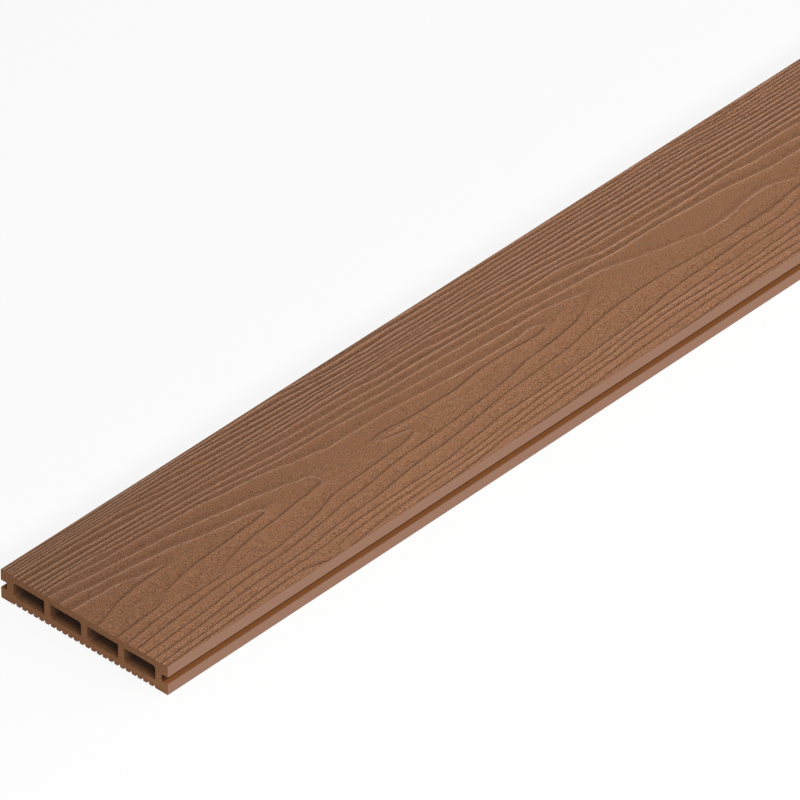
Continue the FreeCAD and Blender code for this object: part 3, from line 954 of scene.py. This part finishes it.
@dataclass
class DeckingBoard:
    """The board as one closed mesh: extruded skin and chambers, embossed face and sawn ends."""

    section: Section
    near_end: float
    far_end: float
    grain: Grain = field(default_factory=Grain)
    relief: Relief = field(default_factory=Relief)
    face_steps_along: int = 400
    face_steps_across: int = 238
    face_border: float = 1.2 * MM
    round_steps: int = 4

    def build(self) -> bpy.types.Object:
        """Model the board, dress it and put it in place of its CAD node.

        Returns:
            The board's object.
        """
        bm = bmesh.new()
        bm.verts.layers.float.new("ring")
        bm.verts.layers.float.new("ring_density")
        bm.verts.layers.float.new("grain_depth")
        self._extrude(bm, self.section.outline(), Surface.SKIN)
        for number in range(self.section.chambers):
            self._extrude(bm, self.section.chamber(number), Surface.CHAMBER)
        self._line_slots(bm)
        self._saw_ends(bm)
        self._emboss_face(bm)
        bmesh.ops.recalc_face_normals(bm, faces=bm.faces)
        open_edges = sum(not edge.is_manifold for edge in bm.edges)
        volume = bm.calc_volume(signed=True) / CM ** 3
        log.info("board: %.0f cubic centimetres, %d open edges", volume, open_edges)
        mesh = bpy.data.meshes.new(NODE + "_look")
        bm.to_mesh(mesh)
        bm.free()
        board = bpy.data.objects.new(NODE + "_look", mesh)
        bpy.context.scene.collection.objects.link(board)
        finishes = (
            EmbossedFace(self.relief, self.far_end), ExtrudedSkin(), SawnEnd(),
            ChamberWall(self.far_end, self.section.bottom_skin), SlotWall(self.section.side),
        )
        for finish in finishes:
            mesh.materials.append(finish.material())
        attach(board, BODY)
        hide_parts(NODE)
        return board

    def _extrude(self, bm: BMesh, corners: list[tuple[float, float, float]], surface: Surface) -> None:
        """Extrude a loop of corners over the board's length and round its long edges.

        Args:
            bm: The mesh that gets the walls.
            corners: The loop's corners, each as y, z and radius.
            surface: The finish of the walls.
        """
        verts = [bm.verts.new((self.near_end, y, z)) for y, z, radius in corners]
        face = bm.faces.new(verts)
        moved = bmesh.ops.extrude_face_region(bm, geom=[face], use_keep_orig=True)
        ends = [item for item in moved["geom"] if isinstance(item, BMVert)]
        bmesh.ops.translate(bm, verts=ends, vec=(self.far_end - self.near_end, 0, 0))
        walls = {wall for vert in verts for wall in vert.link_faces}
        for wall in walls:
            wall.material_index = surface
        for radius in sorted({radius for y, z, radius in corners}):
            places = {self._place(y, z) for y, z, size in corners if size == radius}
            long_edges = [edge for edge in bm.edges if self._runs_along(edge)]
            edges = [edge for edge in long_edges if self._place(*edge.verts[0].co.yz) in places]
            rounded = bmesh.ops.bevel(
                bm, geom=edges, offset=radius, offset_type="OFFSET", segments=self.round_steps, profile=0.5,
                affect="EDGES", material=-1, clamp_overlap=False,
            )
            for rounding in rounded["faces"]:
                rounding.smooth = True

    def _line_slots(self, bm: BMesh) -> None:
        """Give the walls inside the clip slots their own finish."""
        low = self.section.lower_lip - CLOSE
        high = low + self.section.slot_height + 2 * CLOSE
        mouth = self.section.side - self.section.lip_round / 2
        for face in bm.faces:
            middle = face.calc_center_median()
            if face.material_index == Surface.SKIN and low < middle.z < high and abs(middle.y) < mouth:
                face.material_index = Surface.SLOT

    @staticmethod
    def _place(y: float, z: float) -> tuple[int, int]:
        """Name a place of the section in whole hundredths of a millimetre."""
        return round(y / HUNDREDTH), round(z / HUNDREDTH)

    @staticmethod
    def _runs_along(edge: BMEdge) -> bool:
        """Say whether an edge runs from end to end."""
        return (edge.verts[0].co.yz - edge.verts[1].co.yz).length < CLOSE

    def _at_end(self, item: BMFace | BMEdge) -> bool:
        """Say whether a face or edge lies in one of the sawn ends."""
        ends = (self.near_end, self.far_end)
        return any(all(abs(vert.co.x - end) < CLOSE for vert in item.verts) for end in ends)

    def _saw_ends(self, bm: BMesh) -> None:
        """Put a sawn face round the chambers at both ends, with sharp edges."""
        plain = [face for face in bm.faces if self._at_end(face)]
        bmesh.ops.delete(bm, geom=plain, context="FACES_ONLY")
        for end in (self.near_end, self.far_end):
            rim = [edge for edge in bm.edges if all(abs(vert.co.x - end) < CLOSE for vert in edge.verts)]
            for edge in rim:
                edge.smooth = False
            filled = bmesh.ops.triangle_fill(bm, use_beauty=True, edges=rim, normal=(1, 0, 0))
            for item in filled["geom"]:
                if isinstance(item, BMFace):
                    item.material_index = Surface.SAWN

    def _emboss_face(self, bm: BMesh) -> None:
        """Lay the walking face as a fine grid in place of the plain top and sink the grain into it."""
        top = self.section.thickness
        length = self.far_end - self.near_end
        half_width = self.section.side - self.section.arris_round
        plain = [face for face in bm.faces if all(abs(vert.co.z - top) < CLOSE for vert in face.verts)]
        border = list(dict.fromkeys(edge for face in plain for edge in face.edges))
        bmesh.ops.delete(bm, geom=plain, context="FACES_ONLY")
        sides = [edge for edge in border if self._runs_along(edge)]
        ends = [edge for edge in border if not self._runs_along(edge)]
        bmesh.ops.subdivide_edges(bm, edges=sides, cuts=self.face_steps_along - 1)
        bmesh.ops.subdivide_edges(bm, edges=ends, cuts=self.face_steps_across - 1)
        rim = [vert for vert in bm.verts if abs(vert.co.z - top) < CLOSE]
        place = Matrix.Translation(((self.near_end + self.far_end) / 2, 0, top))
        place = place @ Matrix.Diagonal((length / 2, half_width, 1, 1))
        grid = bmesh.ops.create_grid(
            bm, x_segments=self.face_steps_along, y_segments=self.face_steps_across, size=1.0, matrix=place,
        )["verts"]
        for face in {face for vert in grid for face in vert.link_faces}:
            face.material_index = Surface.FACE
            face.smooth = True
        bmesh.ops.remove_doubles(bm, verts=rim + grid, dist=CLOSE)
        faces = [face for face in bm.faces if face.material_index == Surface.FACE]
        self._sink_grain(bm, {vert for face in faces for vert in face.verts}, half_width)

    def _sink_grain(self, bm: BMesh, grid: Iterable[BMVert], half_width: float) -> None:
        """Number the rings at each vertex of the face and sink the vertices below its plane.

        Args:
            bm: The mesh that keeps the ring numbers.
            grid: The vertices of the face.
            half_width: How far the face reaches to each side.
        """
        along = np.linspace(0, self.far_end - self.near_end, self.face_steps_along + 1)
        across = np.linspace(-half_width, half_width, self.face_steps_across + 1)
        grid_along, grid_across = np.meshgrid(along / MM, across / MM)
        ring = self.grain.rings(grid_along, grid_across)
        slope_across, slope_along = np.gradient(ring, across, along)
        density = np.maximum(np.hypot(slope_across, slope_along), self.grain.rate / MM)
        inside = np.clip((half_width - np.abs(across)) / self.face_border, 0, 1)[:, None]
        from_heart = across[:, None] - self.grain.heart_line(along / MM)[None, :] * MM
        depth = self.relief.depth(from_heart) * self.grain.pressure(grid_along, grid_across)
        sunk = self.relief.sunk(ring, density) * depth * self.relief.modelled * inside
        ring_layer = bm.verts.layers.float["ring"]
        density_layer = bm.verts.layers.float["ring_density"]
        depth_layer = bm.verts.layers.float["grain_depth"]
        for vert in grid:
            column = round((vert.co.x - self.near_end) / (along[1] - along[0]))
            row = round((vert.co.y + half_width) / (across[1] - across[0]))
            vert[ring_layer] = ring[row, column]
            vert[density_layer] = density[row, column]
            vert[depth_layer] = depth[row, column]
            top = self.section.thickness - sunk[row, column]
            vert.co = (self.near_end + along[column], across[row], top)


@dataclass
class PhotoCamera:
    """Camera at the photograph's viewing angle, found from one corner of the board."""

    azimuth: float = -47.044
    elevation: float = 36.951
    focal_pixels: float = 10726.5
    picture: float = 800.0
    corner_pixel: tuple[float, float] = (168.257, 695.580)
    corner_distance: float = 6.6766
    sensor: float = 36.0
    farthest: float = 200.0

    def place(self, corner: Vector) -> bpy.types.Object:
        """Put the camera where the near bottom corner falls on its pixel.

        Args:
            corner: The board's near bottom corner.

        Returns:
            The camera's object.
        """
        data = bpy.data.cameras.new("photo_camera")
        data.sensor_width = self.sensor
        data.lens = self.focal_pixels * self.sensor / self.picture
        data.clip_end = self.farthest
        camera = bpy.data.objects.new("photo_camera", data)
        turn = Matrix.Rotation(math.radians(self.azimuth), 3, "Z")
        turn = turn @ Matrix.Rotation(math.radians(90 - self.elevation), 3, "X")
        right = (self.corner_pixel[0] - self.picture / 2) / self.focal_pixels
        down = (self.corner_pixel[1] - self.picture / 2) / self.focal_pixels
        ray = turn @ Vector((right, -down, -1)) * self.corner_distance
        camera.matrix_world = Matrix.Translation(corner - ray) @ turn.to_4x4()
        bpy.context.scene.collection.objects.link(camera)
        bpy.context.scene.camera = camera
        return camera


@dataclass
class Studio:
    """Pale floor, white surroundings and soft light from the board's near side."""

    floor_size: float = 60.0
    floor_gap: float = 0.05 * MM
    floor_albedo: float = 0.9
    floor_glow: float = 0.9
    ambient: float = 0.24
    key_power: float = 42.0
    key_size: tuple[float, float] = (5.0, 0.25)
    key_place: tuple[float, float, float] = (0.0, -0.93, 0.68)

    def build(self) -> None:
        """Make the floor, the world and the key light."""
        self._lay_floor()
        self._light_world()
        self._hang_key()

    @staticmethod
    def _seen(graph: Graph) -> Socket:
        """Say whether a ray is one that the camera sees the surroundings by."""
        rays = [graph.node("ShaderNodeLightPath", output=name)
                for name in ("Is Camera Ray", "Is Glossy Ray", "Is Transmission Ray")]
        return graph.math("MAXIMUM", graph.math("MAXIMUM", rays[0], rays[1]), rays[2])

    def _lay_floor(self) -> None:
        """Lay a white floor that keeps a light shadow."""
        bm = bmesh.new()
        below = Matrix.Translation((0, 0, -self.floor_gap))
        bmesh.ops.create_grid(bm, x_segments=1, y_segments=1, size=self.floor_size / 2, matrix=below)
        mesh = bpy.data.meshes.new("floor")
        bm.to_mesh(mesh)
        bm.free()
        floor = bpy.data.objects.new("floor", mesh)
        bpy.context.scene.collection.objects.link(floor)
        material, graph = new_graph("floor")
        matt = graph.node("ShaderNodeBsdfDiffuse", None, {"Color": (self.floor_albedo,) * 3 + (1.0,)})
        glow = graph.node("ShaderNodeEmission", None, {"Color": (1, 1, 1, 1), "Strength": 1.0})
        shown = self._seen(graph) * self.floor_glow
        mixed = graph.node("ShaderNodeMixShader", None, {0: shown, 1: matt, 2: glow})
        graph.node("ShaderNodeOutputMaterial", None, {"Surface": mixed})
        mesh.materials.append(material)

    def _light_world(self) -> None:
        """Surround the scene with soft light, shown as white."""
        world = bpy.data.worlds.new("surroundings")
        world.use_nodes = True
        bpy.context.scene.world = world
        graph = Graph(world.node_tree)
        strength = self._seen(graph) * (1 - self.ambient) + self.ambient
        light = graph.node("ShaderNodeBackground", None, {"Color": (1, 1, 1, 1), "Strength": strength})
        graph.node("ShaderNodeOutputWorld", None, {"Surface": light})

    def _hang_key(self) -> None:
        """Hang a long strip light beside the board, over its near side."""
        data = bpy.data.lights.new("key", "AREA")
        data.shape = "RECTANGLE"
        data.size, data.size_y = self.key_size
        data.energy = self.key_power
        key = bpy.data.objects.new("key", data)
        key.location = self.key_place
        key.rotation_euler = (math.atan2(-self.key_place[1], self.key_place[2]), 0.0, 0.0)
        key.visible_camera = False
        bpy.context.scene.collection.objects.link(key)


def main() -> None:
    """Build the board, the studio and the camera."""
    logging.basicConfig(level=logging.INFO, format="%(message)s")
    low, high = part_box(NODE)
    section = Section(width=high.y - low.y, thickness=high.z - low.z)
    board = DeckingBoard(section, near_end=low.x, far_end=high.x).build()
    log.info("%s: %d faces", board.name, len(board.data.polygons))
    Studio().build()
    camera = PhotoCamera().place(Vector((low.x, low.y, low.z)))
    log.info("%s at %s", camera.name, tuple(round(value, 3) for value in camera.location))
    bpy.context.scene.view_settings.view_transform = "Standard"


if __name__ == "__main__":
    main()
